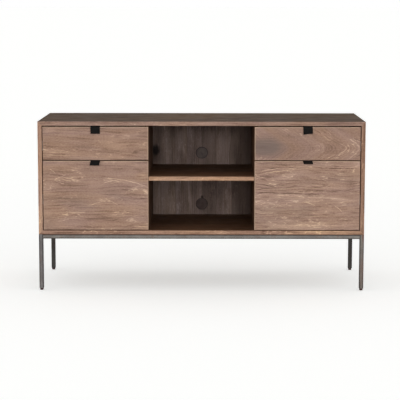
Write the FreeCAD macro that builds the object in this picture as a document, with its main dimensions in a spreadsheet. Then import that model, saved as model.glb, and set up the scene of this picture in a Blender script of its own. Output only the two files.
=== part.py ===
import FreeCAD, Part
import math
import os
import re
import Sketcher

# Office credenza: a mitred wooden case on a base of square steel tube.  An open niche with one
# fixed shelf stands between two stacks of drawers, each a low drawer over a tall file drawer.
#
# Frame: X to the viewer's right, Y to the back, Z up.  The origin is on the floor, at the middle
# of the whole object's footprint, pull tabs included.  Lengths are in millimetres, angles in degrees.

SIZES = {
    # Case
    "overall_width": "1524",
    "overall_depth": "559",
    "overall_height": "795",
    "base_height": "265",          # floor to the underside of the case
    "panel_thickness": "19",       # top, bottom and sides
    "divider_thickness": "19",
    "shelf_thickness": "19",
    "back_thickness": "12",
    "back_recess": "2",            # back panel set in from the rear edges
    "rebate_width": "9.5",         # how far the back panel reaches into the case panels
    "rebate_clearance": "0.3",
    "niche_width": "491",
    "lower_bay_height": "235.5",   # bottom panel to the underside of the shelf
    "shelf_setback": "1.5",
    # Drawer fronts and the gaps round them
    "front_thickness": "19",
    "front_edge_radius": "0.8",
    "upper_front_height": "155",
    "side_gap": "3.5",
    "top_gap": "5.5",
    "middle_gap": "3.8",
    "bottom_gap": "3.2",
    "niche_reveal": "2.5",         # drawer front short of the niche face
    "divider_clearance": "2",      # behind the drawer fronts
    # Cable ports
    "port_diameter": "60",
    "upper_port_height": "57.5",   # centre above the shelf
    "lower_port_height": "53",     # centre above the bottom panel
    "plug_clearance": "0.6",
    "plug_groove_width": "2.6",    # open ring round the plug's face
    "plug_groove_depth": "8",
    "plug_wall": "2",
    "plug_flange_width": "5",
    "plug_flange_thickness": "1.6",
    # Joinery
    "housing_depth": "6",          # grooves that hold the dividers and the shelf's tongues
    "shelf_tongue_thickness": "9",
    # Steel base
    "tube_width": "20",
    "tube_wall": "1.5",
    "tube_corner_radius": "2",
    "fixing_tab_length": "40",
    "fixing_tab_reach": "25",
    "fixing_tab_thickness": "3",
    "fixing_tab_spacing": "600",
    "fixing_hole_diameter": "4.6",
    "foot_diameter": "16",
    "foot_height": "9.5",
    "foot_edge": "1",
    "stem_diameter": "8",
    "stem_length": "24",
    "stem_clearance": "0.05",
    "insert_length": "20",
    "insert_clearance": "0.1",
    # Drawer boxes
    "box_lift": "12",              # box above the lower edge of its front
    "upper_box_drop": "38",        # box below the upper edge of its front
    "lower_box_drop": "54",
    "box_back_clearance": "22",    # between the box and the back panel
    "box_board_thickness": "12",
    "box_bottom_thickness": "6",
    "box_groove_depth": "6",
    "box_groove_level": "10",
    "box_clearance": "0.2",
    "file_rail_spacing": "317",
    "file_rail_thickness": "3",
    "file_rail_height": "12",
    # Telescopic slides
    "slide_height": "45",
    "slide_thickness": "12.7",
    "slide_steel": "1.2",
    "slide_play": "0.3",
    "slide_lip": "2.5",
    "slide_mouth": "2.2",          # cabinet member short of the drawer box
    "slide_setback": "2",          # slide short of the box at either end
    "middle_member_inset": "10",
    # Leather pull tabs
    "tab_width": "44",
    "tab_thickness": "2.2",
    "tab_tail": "28",
    "tab_hang": "32.5",
    "tab_recess_clearance": "0.5",
    "upper_left_tab_lean": "3",
    "upper_right_tab_lean": "4",
    "lower_left_tab_lean": "53",
    "lower_right_tab_lean": "70",
}

# Places and sizes that follow from the driving ones.  Heights are above the floor, depths are
# behind the front plane of the case.
LAYOUT = {
    "tab_reach": "tab_hang * sin(lower_right_tab_lean) + tab_thickness * cos(lower_right_tab_lean)",
    "front_plane": "-(overall_depth - tab_reach) / 2",
    "half_width": "overall_width / 2",
    "inner_half_width": "half_width - panel_thickness",
    "half_niche": "niche_width / 2",
    "bay_inner_edge": "half_niche + divider_thickness",
    "bay_width": "inner_half_width - bay_inner_edge",
    "bay_centre": "(inner_half_width + bay_inner_edge) / 2",
    "case_floor": "base_height + panel_thickness",
    "case_ceiling": "overall_height - panel_thickness",
    "back_face": "overall_depth - back_recess - back_thickness",
    "divider_front": "front_thickness + divider_clearance",
    "divider_centre": "half_niche + divider_thickness / 2",
    "shelf_underside": "case_floor + lower_bay_height",
    "shelf_top": "shelf_underside + shelf_thickness",
    "tongue_underside": "shelf_underside + (shelf_thickness - shelf_tongue_thickness) / 2",
    "tongue_top": "tongue_underside + shelf_tongue_thickness",
    "upper_port_centre": "shelf_top + upper_port_height",
    "lower_port_centre": "case_floor + lower_port_height",
    "rail_length": "overall_width - 2 * tube_width",
    "rail_middle": "base_height - tube_width / 2",
    "leg_inset": "half_width - tube_width / 2",
    "fixing_row": "tube_width + fixing_tab_reach / 2",
    "fixing_level": "base_height - fixing_tab_thickness",
    "front_outer_edge": "inner_half_width - side_gap",
    "front_inner_edge": "half_niche + niche_reveal",
    "front_width": "front_outer_edge - front_inner_edge",
    "front_offset": "(front_outer_edge + front_inner_edge) / 2 - bay_centre",
    "lower_front_level": "case_floor + bottom_gap",
    "upper_front_level": "case_ceiling - top_gap - upper_front_height",
    "lower_front_height": "upper_front_level - middle_gap - lower_front_level",
    "box_width": "bay_width - 2 * slide_thickness",
    "box_back": "back_face - box_back_clearance",
    "box_depth": "box_back - front_thickness",
    "upper_box_height": "upper_front_height - box_lift - upper_box_drop",
    "lower_box_height": "lower_front_height - box_lift - lower_box_drop",
    "box_rebate": "box_board_thickness / 2",
    "box_floor": "box_lift + box_groove_level",
    "slide_front": "front_thickness + slide_setback",
    "slide_length": "box_depth - 2 * slide_setback",
    "cabinet_lip": "slide_thickness - slide_mouth",
    "middle_start": "slide_steel + slide_play",
    "middle_top": "slide_height / 2 - slide_steel - slide_play",
    "middle_lip": "cabinet_lip - slide_steel - slide_play",
    "hook_start": "middle_start + slide_steel + slide_play",
    "hook_end": "middle_lip - slide_steel - slide_play",
    "hook_top": "middle_top - slide_steel - slide_play",
    "neck_top": "middle_top - slide_lip - slide_play",
}

# The pad or cut direction is along the plane's positive axis; the sketch normal of the XZ plane
# points the other way.
PLANES = {"XY": ("XY_Plane", 1), "XZ": ("XZ_Plane", -1), "YZ": ("YZ_Plane", 1)}

LEFT = -1
RIGHT = 1
SIDES = {"left": LEFT, "right": RIGHT}

X_AXIS = FreeCAD.Vector(1, 0, 0)
Y_AXIS = FreeCAD.Vector(0, 1, 0)
Z_AXIS = FreeCAD.Vector(0, 0, 1)
FLAT = 1e-6                        # two lengths closer than this are the same

PORT_CENTRES = {"upper": "upper_port_centre", "lower": "lower_port_centre"}
FIXING_COLUMNS = ["-fixing_tab_spacing", "0", "fixing_tab_spacing"]

document = FreeCAD.newDocument("office_credenza")
sub_parts = []


# ---------------------------------------------------------------- sheets and expressions

def refer(text):
    """Point each bare size name in an expression at the sheet that holds it."""
    def full_name(match):
        word = match.group(0)
        if word in SIZES:
            return "sizes." + word
        if word in LAYOUT:
            return "layout." + word
        return word
    return re.sub(r"[a-z_]+", full_name, text)


def make_sheet(name, cells, prefix):
    sheet = document.addObject("Spreadsheet::Sheet", name)
    for row, (alias, content) in enumerate(cells.items(), start=1):
        sheet.set(f"A{row}", alias)
        sheet.set(f"B{row}", prefix + refer(content))
        sheet.setAlias(f"B{row}", alias)
    document.recompute()
    return sheet


sizes = make_sheet("sizes", SIZES, "")
layout = make_sheet("layout", LAYOUT, "=")


def bind(item, prop, text):
    item.setExpression(prop, refer(text))


def value(text):
    return float(sizes.evalExpression(refer(text)))


# ---------------------------------------------------------------- modelling helpers

def new_body(label, x="0", y="front_plane", z="0"):
    """Start a sub-part; by default its own origin is on the floor at the case's front plane."""
    body = document.addObject("PartDesign::Body", label)
    body.Label = label
    bind(body, "Placement.Base.x", x)
    bind(body, "Placement.Base.y", y)
    bind(body, "Placement.Base.z", z)
    sub_parts.append(body)
    return body


def origin_feature(body, role):
    return next(item for item in body.Origin.OriginFeatures if item.Role == role)


def rectangle(x_low, y_low, x_high, y_high):
    return [(x_low, y_low), (x_high, y_low), (x_high, y_high), (x_low, y_high)]


def circle(x, y, diameter):
    return {"x": x, "y": y, "diameter": diameter}


def add_polygon(sketch, points):
    """Draw a closed outline whose every corner is bound to the sheets."""
    first = sketch.GeometryCount
    count = len(points)
    corners = [FreeCAD.Vector(value(x), value(y), 0) for x, y in points]
    for index in range(count):
        sketch.addGeometry(Part.LineSegment(corners[index], corners[(index + 1) % count]), False)
    for index in range(count):
        following = first + (index + 1) % count
        sketch.addConstraint(Sketcher.Constraint("Coincident", first + index, 2, following, 1))
    for index, (x, y) in enumerate(points):
        pin_point(sketch, first + index, 1, x, y)


def add_circle(sketch, ring):
    centre = FreeCAD.Vector(value(ring["x"]), value(ring["y"]), 0)
    radius = value(ring["diameter"]) / 2
    index = sketch.addGeometry(Part.Circle(centre, FreeCAD.Vector(0, 0, 1), radius), False)
    pin_point(sketch, index, 3, ring["x"], ring["y"])
    size = sketch.addConstraint(Sketcher.Constraint("Diameter", index, 2 * radius))
    bind(sketch, f"Constraints[{size}]", ring["diameter"])


def pin_point(sketch, geometry, point, x, y):
    """Hold one point of the sketch at a bound distance from the sketch's origin."""
    for kind, text in (("DistanceX", x), ("DistanceY", y)):
        held = sketch.addConstraint(Sketcher.Constraint(kind, -1, 1, geometry, point, value(text)))
        bind(sketch, f"Constraints[{held}]", text)


def draw(body, plane, level, outlines):
    """Sketch outlines on one of the body's planes, at a level along that plane's axis."""
    role, direction = PLANES[plane]
    sketch = body.newObject("Sketcher::SketchObject", body.Name + "_sketch")
    sketch.AttachmentSupport = [(origin_feature(body, role), "")]
    sketch.MapMode = "FlatFace"
    bind(sketch, "AttachmentOffset.Base.z", f"{direction} * ({level})")
    for outline in outlines:
        if isinstance(outline, dict):
            add_circle(sketch, outline)
        else:
            add_polygon(sketch, outline)
    return sketch


def pad(body, plane, level, length, outlines):
    """Extrude outlines from a level towards the plane's positive axis."""
    feature = body.newObject("PartDesign::Pad", body.Name + "_pad")
    feature.Profile = draw(body, plane, level, outlines)
    feature.Reversed = PLANES[plane][1] < 0
    bind(feature, "Length", length)


def cut(body, plane, level, length, outlines):
    """Remove outlines from a level towards the plane's positive axis."""
    feature = body.newObject("PartDesign::Pocket", body.Name + "_cut")
    feature.Profile = draw(body, plane, level, outlines)
    feature.Reversed = PLANES[plane][1] > 0
    bind(feature, "Length", length)


def turn(body, plane, axis, outline):
    """Revolve an outline about the horizontal or vertical axis of its own sketch."""
    feature = body.newObject("PartDesign::Revolution", body.Name + "_turned")
    sketch = draw(body, plane, "0", [outline])
    feature.Profile = sketch
    feature.ReferenceAxis = (sketch, [axis])
    feature.Angle = 360


def repeat(body, axis, length, count):
    """Repeat the whole body so far, evenly over a length along one axis."""
    document.recompute()
    pattern = body.newObject("PartDesign::LinearPattern", body.Name + "_row")
    pattern.TransformMode = "Whole shape"
    pattern.Direction = (origin_feature(body, axis), [""])
    bind(pattern, "Length", length)
    pattern.Occurrences = count
    body.Tip = pattern


def mirror(body):
    """Repeat the whole body so far on the other side of its YZ plane."""
    document.recompute()
    mirrored = body.newObject("PartDesign::Mirrored", body.Name + "_mirrored")
    mirrored.TransformMode = "Whole shape"
    mirrored.MirrorPlane = (origin_feature(body, "YZ_Plane"), [""])
    body.Tip = mirrored


def round_edges(body, radius, chosen):
    """Round each edge of the body so far that the test picks."""
    document.recompute()
    base = body.Tip
    names = [f"Edge{number}" for number, edge in enumerate(base.Shape.Edges, start=1) if chosen(edge)]
    feature = body.newObject("PartDesign::Fillet", body.Name + "_rounded")
    feature.Base = (base, names)
    bind(feature, "Radius", radius)


def runs_along(edge, axis):
    """Whether an edge is straight and parallel to an axis."""
    start = edge.Vertexes[0].Point
    end = edge.Vertexes[-1].Point
    run = end - start
    return abs(abs(run.dot(axis)) - edge.Length) < FLAT


def sideways(side, text):
    """The same distance from the middle, to the left or to the right."""
    return f"{side} * ({text})"


# ---------------------------------------------------------------- wooden case

def back_outline(clearance):
    """The back panel's outline, or with a clearance the rebate that it sits in."""
    reach = f"(rebate_width + {clearance})"
    return rectangle(f"-(inner_half_width + {reach})", f"case_floor - {reach}",
                     f"inner_half_width + {reach}", f"case_ceiling + {reach}")


def case_panel(label, outline):
    """A panel of the case, mitred at both ends and rebated at the rear for the back panel."""
    body = new_body(label)
    pad(body, "XZ", "0", "overall_depth", [outline])
    cut(body, "XZ", "back_face", "back_thickness + back_recess", [back_outline("rebate_clearance")])
    return body


def house_dividers(body, level):
    """Grooves across a panel's inner face that hold the ends of the two dividers."""
    grooves = [rectangle(sideways(side, "half_niche"), "divider_front",
                         sideways(side, "bay_inner_edge"), "back_face") for side in SIDES.values()]
    cut(body, "XY", level, "housing_depth", grooves)


def make_top_panel():
    body = case_panel("top_panel", [
        ("-half_width", "overall_height"),
        ("half_width", "overall_height"),
        ("inner_half_width", "case_ceiling"),
        ("-inner_half_width", "case_ceiling"),
    ])
    house_dividers(body, "case_ceiling")


def make_bottom_panel():
    body = case_panel("bottom_panel", [
        ("-half_width", "base_height"),
        ("half_width", "base_height"),
        ("inner_half_width", "case_floor"),
        ("-inner_half_width", "case_floor"),
    ])
    house_dividers(body, "case_floor - housing_depth")


def make_side_panel(name, side):
    case_panel("side_panel_" + name, [
        (sideways(side, "half_width"), "base_height"),
        (sideways(side, "half_width"), "overall_height"),
        (sideways(side, "inner_half_width"), "case_ceiling"),
        (sideways(side, "inner_half_width"), "case_floor"),
    ])


def make_divider(name, side):
    """Upright between the niche and the drawers, behind the inner edge of the drawer fronts."""
    body = new_body("divider_" + name)
    pad(body, "XZ", "divider_front", "back_face - divider_front", [
        rectangle(sideways(side, "half_niche"), "case_floor - housing_depth",
                  sideways(side, "bay_inner_edge"), "case_ceiling + housing_depth"),
    ])
    groove_start = "half_niche" if side == RIGHT else "-half_niche - housing_depth"
    cut(body, "YZ", groove_start, "housing_depth", [
        rectangle("divider_front", "tongue_underside", "back_face", "tongue_top"),
    ])


def make_shelf():
    """Fixed shelf, with a tongue along either end that its divider houses."""
    body = new_body("niche_shelf")
    pad(body, "XY", "shelf_underside", "shelf_thickness", [
        rectangle("-half_niche", "shelf_setback", "half_niche", "back_face"),
    ])
    reach = "(half_niche + housing_depth)"
    pad(body, "XY", "tongue_underside", "shelf_tongue_thickness", [
        rectangle(f"-{reach}", "divider_front", reach, "back_face"),
    ])


def make_back_panel():
    """Back of the case, with a round cable port for each bay of the niche."""
    body = new_body("back_panel")
    pad(body, "XZ", "back_face", "back_thickness", [back_outline("0")])
    ports = [circle("0", centre, "port_diameter") for centre in PORT_CENTRES.values()]
    cut(body, "XZ", "back_face", "back_thickness", ports)


def make_port_plug(name, centre):
    """Hollow cap that fills a cable port from behind, its flange on the rear face.

    Its face is flush inside the niche, with an open ring round it down to the wider rear end.
    """
    body = new_body("cable_port_plug_" + name, z=centre)
    face = "port_diameter / 2 - plug_groove_width"
    outer = "port_diameter / 2 - plug_clearance"
    inner = f"{face} - plug_wall"
    flange = "port_diameter / 2 + plug_flange_width"
    rear = "back_face + back_thickness"
    turn(body, "YZ", "H_Axis", [
        ("back_face", "0"),
        ("back_face", face),
        ("back_face + plug_groove_depth", face),
        ("back_face + plug_groove_depth", outer),
        (rear, outer),
        (rear, flange),
        (f"{rear} + plug_flange_thickness", flange),
        (f"{rear} + plug_flange_thickness", inner),
        ("back_face + plug_wall", inner),
        ("back_face + plug_wall", "0"),
    ])


# ---------------------------------------------------------------- steel base

def tube_section(x, y):
    """Outer and inner outlines of the square tube, centred on a point."""
    outer = "tube_width / 2"
    inner = "(tube_width / 2 - tube_wall)"
    return [rectangle(f"{x} - {half}", f"{y} - {half}", f"{x} + {half}", f"{y} + {half}")
            for half in (outer, inner)]


def round_tube(body, axis):
    """Round the four outer corners of a tube that has just been padded along an axis."""
    document.recompute()
    middle = body.Tip.Shape.BoundBox.Center
    half_diagonal = value("tube_width") / math.sqrt(2)

    def is_outer_corner(edge):
        distance = edge.BoundBox.Center.distanceToLine(middle, axis)
        return runs_along(edge, axis) and distance > half_diagonal - FLAT

    round_edges(body, "tube_corner_radius", is_outer_corner)


def make_end_rail(name, face, inwards):
    """Front or back rail between the legs, with the welded tabs that the case is screwed to."""
    body = new_body("base_rail_" + name)
    centre = f"({face} + {inwards} * tube_width / 2)"
    pad(body, "YZ", "-rail_length / 2", "rail_length", tube_section(centre, "rail_middle"))
    round_tube(body, X_AXIS)
    root = f"({face} + {inwards} * tube_width)"
    tip = f"({face} + {inwards} * (tube_width + fixing_tab_reach))"
    half = "fixing_tab_length / 2"
    tabs = [rectangle(f"{x} - {half}", root, f"{x} + {half}", tip) for x in FIXING_COLUMNS]
    pad(body, "XY", "fixing_level", "fixing_tab_thickness", tabs)
    row = f"{face} + {inwards} * fixing_row"
    holes = [circle(x, row, "fixing_hole_diameter") for x in FIXING_COLUMNS]
    cut(body, "XY", "fixing_level", "fixing_tab_thickness", holes)


def make_rail_pair(label, distance):
    """Two rails from front to back, at the same distance either side of the middle."""
    body = new_body(label)
    pad(body, "XZ", "tube_width", "overall_depth - 2 * tube_width", tube_section(distance, "rail_middle"))
    round_tube(body, Y_AXIS)
    mirror(body)


def make_leg(end, name, depth, side):
    body = new_body(f"base_leg_{end}_{name}")
    pad(body, "XY", "foot_height", "base_height - foot_height",
        tube_section(sideways(side, "leg_inset"), depth))
    round_tube(body, Z_AXIS)


def make_leg_inserts():
    """Threaded plugs pressed into the lower ends of the legs."""
    body = new_body("leg_end_inserts")
    half = "(tube_width / 2 - tube_wall - insert_clearance)"
    x = "leg_inset"
    y = "tube_width / 2"
    block = rectangle(f"{x} - {half}", f"{y} - {half}", f"{x} + {half}", f"{y} + {half}")
    bore = circle(x, y, "stem_diameter + 2 * stem_clearance")
    pad(body, "XY", "foot_height", "insert_length", [block, bore])
    repeat(body, "Y_Axis", "overall_depth - tube_width", 2)
    mirror(body)


def make_foot(end, name, depth, side):
    """Levelling foot: a round pad with an eased lower edge on a threaded stem."""
    body = new_body(f"levelling_foot_{end}_{name}", x=sideways(side, "leg_inset"),
                    y=f"front_plane + {depth}")
    edge = "foot_edge"
    turn(body, "XZ", "V_Axis", [
        ("0", "0"),
        (f"foot_diameter / 2 - {edge}", "0"),
        ("foot_diameter / 2", edge),
        ("foot_diameter / 2", "foot_height"),
        ("stem_diameter / 2", "foot_height"),
        ("stem_diameter / 2", "foot_height + stem_length"),
        ("0", "foot_height + stem_length"),
    ])


# ---------------------------------------------------------------- drawers
#
# A drawer's pieces share one origin: across, the middle of its bay; in depth, the case's front
# plane; in height, the lower edge of its front.

class Drawer:
    def __init__(self, tier, name):
        self.name = f"{tier}_{name}"
        self.side = SIDES[name]
        self.level = tier + "_front_level"
        self.front_height = tier + "_front_height"
        self.box_height = tier + "_box_height"
        self.tab_lean = f"{tier}_{name}_tab_lean"
        self.front_middle = sideways(self.side, "front_offset")
        self.box_top = f"(box_lift + {self.box_height})"

    def new_body(self, piece):
        return new_body(f"{self.name}_{piece}", x=sideways(self.side, "bay_centre"), z=self.level)


def make_drawer_front(drawer):
    """Front panel with eased face edges and a recess behind its top edge for the tab's tail."""
    body = drawer.new_body("drawer_front")
    middle = drawer.front_middle
    pad(body, "XZ", "0", "front_thickness", [
        rectangle(f"{middle} - front_width / 2", "0", f"{middle} + front_width / 2", drawer.front_height),
    ])
    round_edges(body, "front_edge_radius", lambda edge: edge.BoundBox.YMax < FLAT)
    half = "(tab_width / 2 + tab_recess_clearance)"
    bottom = f"{drawer.front_height} - tab_tail - tab_recess_clearance"
    cut(body, "XZ", "front_thickness - tab_thickness", "tab_thickness", [
        rectangle(f"{middle} - {half}", bottom, f"{middle} + {half}", drawer.front_height),
    ])


def make_pull_tab(drawer):
    """Leather strap: tail in the recess, over the top edge, and out in front at its own lean."""
    body = drawer.new_body("pull_tab")
    top = drawer.front_height
    lean = drawer.tab_lean
    tip_out = f"-tab_hang * sin({lean})"
    tip_level = f"{top} - tab_hang * cos({lean})"
    pad(body, "YZ", f"{drawer.front_middle} - tab_width / 2", "tab_width", [[
        ("front_thickness - tab_thickness", f"{top} - tab_tail"),
        ("front_thickness - tab_thickness", top),
        ("0", top),
        (tip_out, tip_level),
        (f"{tip_out} - tab_thickness * cos({lean})", f"{tip_level} + tab_thickness * sin({lean})"),
        (f"-tab_thickness * (1 - sin({lean})) / cos({lean})", f"{top} + tab_thickness"),
        ("front_thickness", f"{top} + tab_thickness"),
        ("front_thickness", f"{top} - tab_tail"),
    ]])


def make_box_sides(drawer):
    """Both sides of the box, rebated at the ends and grooved for the bottom."""
    body = drawer.new_body("box_sides")
    outer = "-box_width / 2"
    rebated = f"{outer} + box_rebate"
    inner = f"{outer} + box_board_thickness"
    pad(body, "XY", "box_lift", drawer.box_height, [[
        (outer, "front_thickness"),
        (rebated, "front_thickness"),
        (rebated, "front_thickness + box_board_thickness"),
        (inner, "front_thickness + box_board_thickness"),
        (inner, "box_back - box_board_thickness"),
        (rebated, "box_back - box_board_thickness"),
        (rebated, "box_back"),
        (outer, "box_back"),
    ]])
    cut(body, "XZ", "front_thickness", "box_depth", [
        rectangle(f"{inner} - box_groove_depth", "box_floor", inner, "box_floor + box_bottom_thickness"),
    ])
    mirror(body)


def make_box_ends(drawer):
    """Front and back ends of the box, between the sides and grooved for the bottom."""
    body = drawer.new_body("box_ends")
    for face, inwards in (("front_thickness", 1), ("box_back", -1)):
        inner = f"({face} + {inwards} * box_board_thickness)"
        groove = f"({inner} - {inwards} * box_groove_depth)"
        pad(body, "YZ", "-box_width / 2 + box_rebate", "box_width - 2 * box_rebate", [[
            (face, "box_lift"),
            (inner, "box_lift"),
            (inner, "box_floor"),
            (groove, "box_floor"),
            (groove, "box_floor + box_bottom_thickness"),
            (inner, "box_floor + box_bottom_thickness"),
            (inner, drawer.box_top),
            (face, drawer.box_top),
        ]])
    return body


def notch_for_file_rails(body, drawer):
    """Slots in the top edges of the box ends that hold the hanging-file rails."""
    half = "(file_rail_thickness / 2 + box_clearance)"
    for side in (LEFT, RIGHT):
        centre = sideways(side, "file_rail_spacing / 2")
        cut(body, "XZ", "front_thickness", "box_depth", [
            rectangle(f"{centre} - {half}", f"{drawer.box_top} - file_rail_height",
                      f"{centre} + {half}", drawer.box_top),
        ])


def make_file_rails(drawer):
    body = drawer.new_body("hanging_file_rails")
    centre = "file_rail_spacing / 2"
    half = "file_rail_thickness / 2"
    pad(body, "XZ", "front_thickness", "box_depth", [
        rectangle(f"{centre} - {half}", f"{drawer.box_top} - file_rail_height",
                  f"{centre} + {half}", drawer.box_top),
    ])
    mirror(body)


def make_box_bottom(drawer):
    """Bottom panel of the box, loose in the grooves of the sides and ends."""
    body = drawer.new_body("box_bottom")
    reach = "(box_board_thickness - box_groove_depth + box_clearance)"
    pad(body, "XY", "box_floor", "box_bottom_thickness", [
        rectangle(f"-box_width / 2 + {reach}", f"front_thickness + {reach}",
                  f"box_width / 2 - {reach}", f"box_back - {reach}"),
    ])


def both_edges(upper_half):
    """Complete a slide section that is the same above and below its middle height."""
    lower_half = [(x, f"-({height})") for x, height in reversed(upper_half)]
    return upper_half + lower_half


def channel_section(web, top, lip):
    """Rolled channel: a web, two flanges, and a lip turned back from each flange."""
    return both_edges([
        (web, top),
        (lip, top),
        (lip, f"{top} - slide_lip"),
        (f"{lip} - slide_steel", f"{top} - slide_lip"),
        (f"{lip} - slide_steel", f"{top} - slide_steel"),
        (f"{web} + slide_steel", f"{top} - slide_steel"),
    ])


def hooked_section():
    """Rolled channel that faces the other way and hooks behind the middle member's lips."""
    web = "slide_thickness"
    return both_edges([
        (web, "neck_top"),
        ("hook_end", "neck_top"),
        ("hook_end", "hook_top"),
        ("hook_start", "hook_top"),
        ("hook_start", "hook_top - slide_steel"),
        ("hook_end - slide_steel", "hook_top - slide_steel"),
        ("hook_end - slide_steel", "neck_top - slide_steel"),
        (f"{web} - slide_steel", "neck_top - slide_steel"),
    ])


def make_slide_members(drawer, member, section, start, length):
    """One member of the left slide and its mirror image on the right."""
    body = drawer.new_body(f"slide_{member}_members")
    middle = f"(box_lift + {drawer.box_height} / 2)"
    placed = [(f"{x} - bay_width / 2", f"{height} + {middle}") for x, height in section]
    pad(body, "XZ", start, length, [placed])
    mirror(body)


def make_slides(drawer):
    """Full-extension slides: cabinet, middle and drawer members, each running in the one before."""
    cabinet = channel_section("0", "slide_height / 2", "cabinet_lip")
    middle = channel_section("middle_start", "middle_top", "middle_lip")
    make_slide_members(drawer, "cabinet", cabinet, "slide_front", "slide_length")
    make_slide_members(drawer, "middle", middle, "slide_front + middle_member_inset",
                       "slide_length - 2 * middle_member_inset")
    make_slide_members(drawer, "drawer", hooked_section(), "slide_front", "slide_length")


def make_drawer(tier, name):
    drawer = Drawer(tier, name)
    make_drawer_front(drawer)
    make_pull_tab(drawer)
    make_box_sides(drawer)
    box_ends = make_box_ends(drawer)
    make_box_bottom(drawer)
    if tier == "lower":
        notch_for_file_rails(box_ends, drawer)
        make_file_rails(drawer)
    make_slides(drawer)


# ---------------------------------------------------------------- assembly and output

def make_case():
    make_top_panel()
    make_bottom_panel()
    for name, side in SIDES.items():
        make_side_panel(name, side)
        make_divider(name, side)
    make_shelf()
    make_back_panel()
    for name, centre in PORT_CENTRES.items():
        make_port_plug(name, centre)


def make_base():
    make_end_rail("front", "0", 1)
    make_end_rail("back", "overall_depth", -1)
    make_rail_pair("base_side_rails", "leg_inset")
    make_rail_pair("base_cross_rails", "divider_centre")
    make_leg_inserts()
    for name, side in SIDES.items():
        for end, depth in (("front", "tube_width / 2"), ("back", "(overall_depth - tube_width / 2)")):
            make_leg(end, name, depth, side)
            make_foot(end, name, depth, side)


def check_document():
    """Stop if any feature failed, any cut removed nothing or any sub-part is not sound."""
    for item in document.Objects:
        if {"Invalid", "Error"} & set(item.State):
            raise RuntimeError(f"{item.Name} failed: {item.getStatusString()}")
        if item.TypeId == "PartDesign::Pocket" and item.Shape.Volume > item.BaseFeature.Shape.Volume - FLAT:
            raise RuntimeError(f"{item.Name} removes nothing")
    for body in sub_parts:
        if body.Shape.isNull() or not body.Shape.isValid():
            raise RuntimeError(f"{body.Label} has no sound shape")


def export_parts():
    os.makedirs("parts", exist_ok=True)
    for body in sub_parts:
        body.Shape.exportStep(f"parts/{body.Label}.step")


make_case()
make_base()
for tier in ("upper", "lower"):
    for name in SIDES:
        make_drawer(tier, name)
document.recompute()
check_document()
export_parts()
print(f"{len(sub_parts)} sub-parts written")
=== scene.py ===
from dataclasses import dataclass
import math

import bmesh
import bpy
from mathutils import Matrix, Vector, geometry


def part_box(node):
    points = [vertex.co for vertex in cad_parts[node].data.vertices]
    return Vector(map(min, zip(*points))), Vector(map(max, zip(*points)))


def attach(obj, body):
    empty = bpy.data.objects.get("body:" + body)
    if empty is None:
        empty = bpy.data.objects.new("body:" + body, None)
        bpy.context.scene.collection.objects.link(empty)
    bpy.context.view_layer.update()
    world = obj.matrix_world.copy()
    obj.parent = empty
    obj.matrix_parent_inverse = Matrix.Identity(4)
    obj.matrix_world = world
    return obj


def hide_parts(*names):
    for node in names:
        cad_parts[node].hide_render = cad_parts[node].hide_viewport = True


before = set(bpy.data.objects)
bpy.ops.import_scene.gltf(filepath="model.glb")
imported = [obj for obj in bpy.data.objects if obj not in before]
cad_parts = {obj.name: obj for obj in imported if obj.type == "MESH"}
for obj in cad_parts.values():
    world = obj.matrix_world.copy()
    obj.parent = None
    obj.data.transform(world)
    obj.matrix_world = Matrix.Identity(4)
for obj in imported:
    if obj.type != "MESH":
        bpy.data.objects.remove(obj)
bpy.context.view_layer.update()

# Looks of the office credenza.  Lengths are in metres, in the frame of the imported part: X to the
# viewer's right, Y to the back, Z up, the floor at zero.

MM = 0.001

# The photographer's camera
CAMERA_SIDE = 0.022
CAMERA_HEIGHT = 1.323
CAMERA_DISTANCE = 6.755           # in front of the case
CAMERA_PITCH_DOWN = 7.54          # degrees
CAMERA_TURN_LEFT = 0.25           # degrees
CAMERA_ROLL = -0.058              # degrees
CAMERA_LENS = 131.3               # in millimetres, as is the sensor
CAMERA_SENSOR = 36

# Soft light: a little from all round, a wide bright band low down in front, some from overhead
# and some from both ends
FILL_LIGHT = 0.40
BAND_LIGHT = 2.6
OVERHEAD_LIGHT = 0.1
SIDE_LIGHT = 0.5

# The parts of a direction between which the band fades, towards the back and upwards, and between
# which the overhead and side lights grow
BAND_FADES_BACK = (-0.45, -0.05)
BAND_FADES_UP = (0.17, 0.35)
OVERHEAD_GROWS = (0.6, 0.8)
SIDE_GROWS = (0.6, 0.9)

FLOOR_GREY = 0.9
FLOOR_GLOW = 0.46                 # what the camera sees on top of the floor's own light
FLOOR_TINT = (0.99, 1.0, 0.975, 1.0)
FLOOR_REACH = 3000

FRONT_THICKNESS = 19 * MM
TAB_WIDTH = 44 * MM
TAB_THICKNESS = 2.2 * MM
TAB_TAIL = 28 * MM
TAB_HANG = 32.5 * MM
TAB_CORNER = 0.75 * MM
EASED_EDGE = 0.8 * MM

PORT_RADIUS = 30 * MM
PORT_RING = 2.6 * MM              # open ring round a plug's face
BOX_BOARD = 12 * MM               # the boards of the drawer boxes
TUBE = 20 * MM
FIXING_TAB_THICKNESS = 3 * MM
FIXING_TAB_SPACING = 0.6

DRAWERS = ("upper_left", "upper_right", "lower_left", "lower_right")
SIDES = ("left", "right")
DIRECTIONS = {"front": (0, -1, 0), "back": (0, 1, 0), "up": (0, 0, 1), "down": (0, 0, -1),
              "left": (-1, 0, 0), "right": (1, 0, 0)}


def srgb(red, green, blue):
    """A colour as read off a screen, 0 to 255, as the linear colour that a shader takes."""
    channels = [value / 255 for value in (red, green, blue)]
    linear = [c / 12.92 if c <= 0.04045 else ((c + 0.055) / 1.055) ** 2.4 for c in channels]
    return (*linear, 1.0)


# ---------------------------------------------------------------- shader building blocks

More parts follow.
